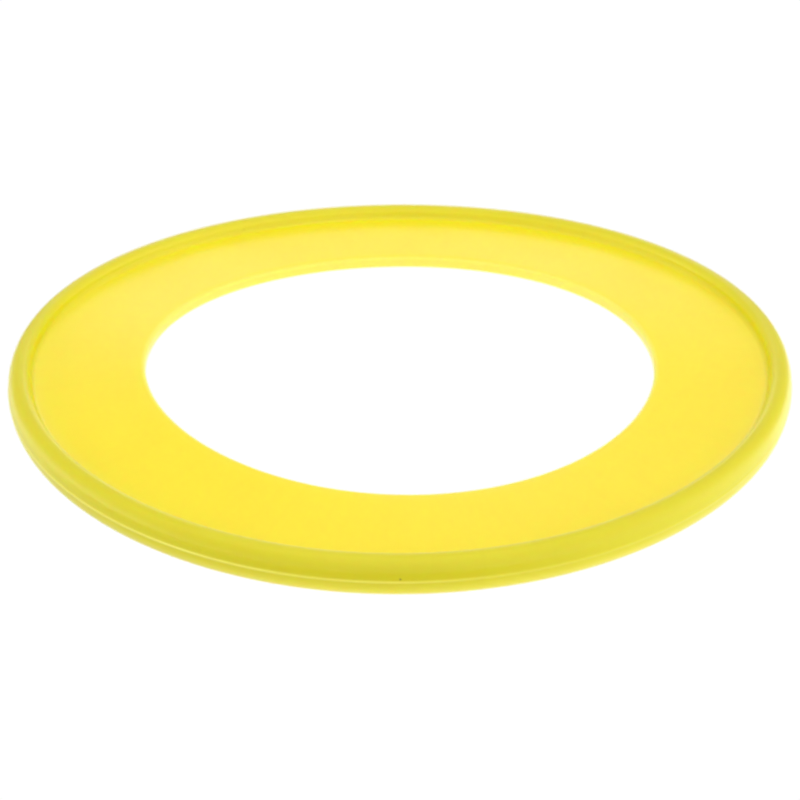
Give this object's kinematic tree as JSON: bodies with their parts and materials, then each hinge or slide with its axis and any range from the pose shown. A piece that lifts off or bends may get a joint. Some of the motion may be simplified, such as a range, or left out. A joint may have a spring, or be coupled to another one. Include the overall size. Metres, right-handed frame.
{
  "type": "juggling ring",
  "caption": "Juggling ring: a flat plastic grip band with a thick rounded rim, for throwing and catching, spinning on an arm or hanging on a peg.",
  "frame": {"origin": "centre of the ring, on the mid plane where the mould halves met", "axes": "+Z along the ring's axis; X and Y lie in the ring's plane and are interchangeable"},
  "size_m": [0.24, 0.24, 0.0114],
  "materials": {
    "ring_plastic": "smooth translucent yellow polyethylene with a soft sheen"
  },
  "bodies": {
    "root": {"ring_body": "ring_plastic"}
  },
  "joints": []
}
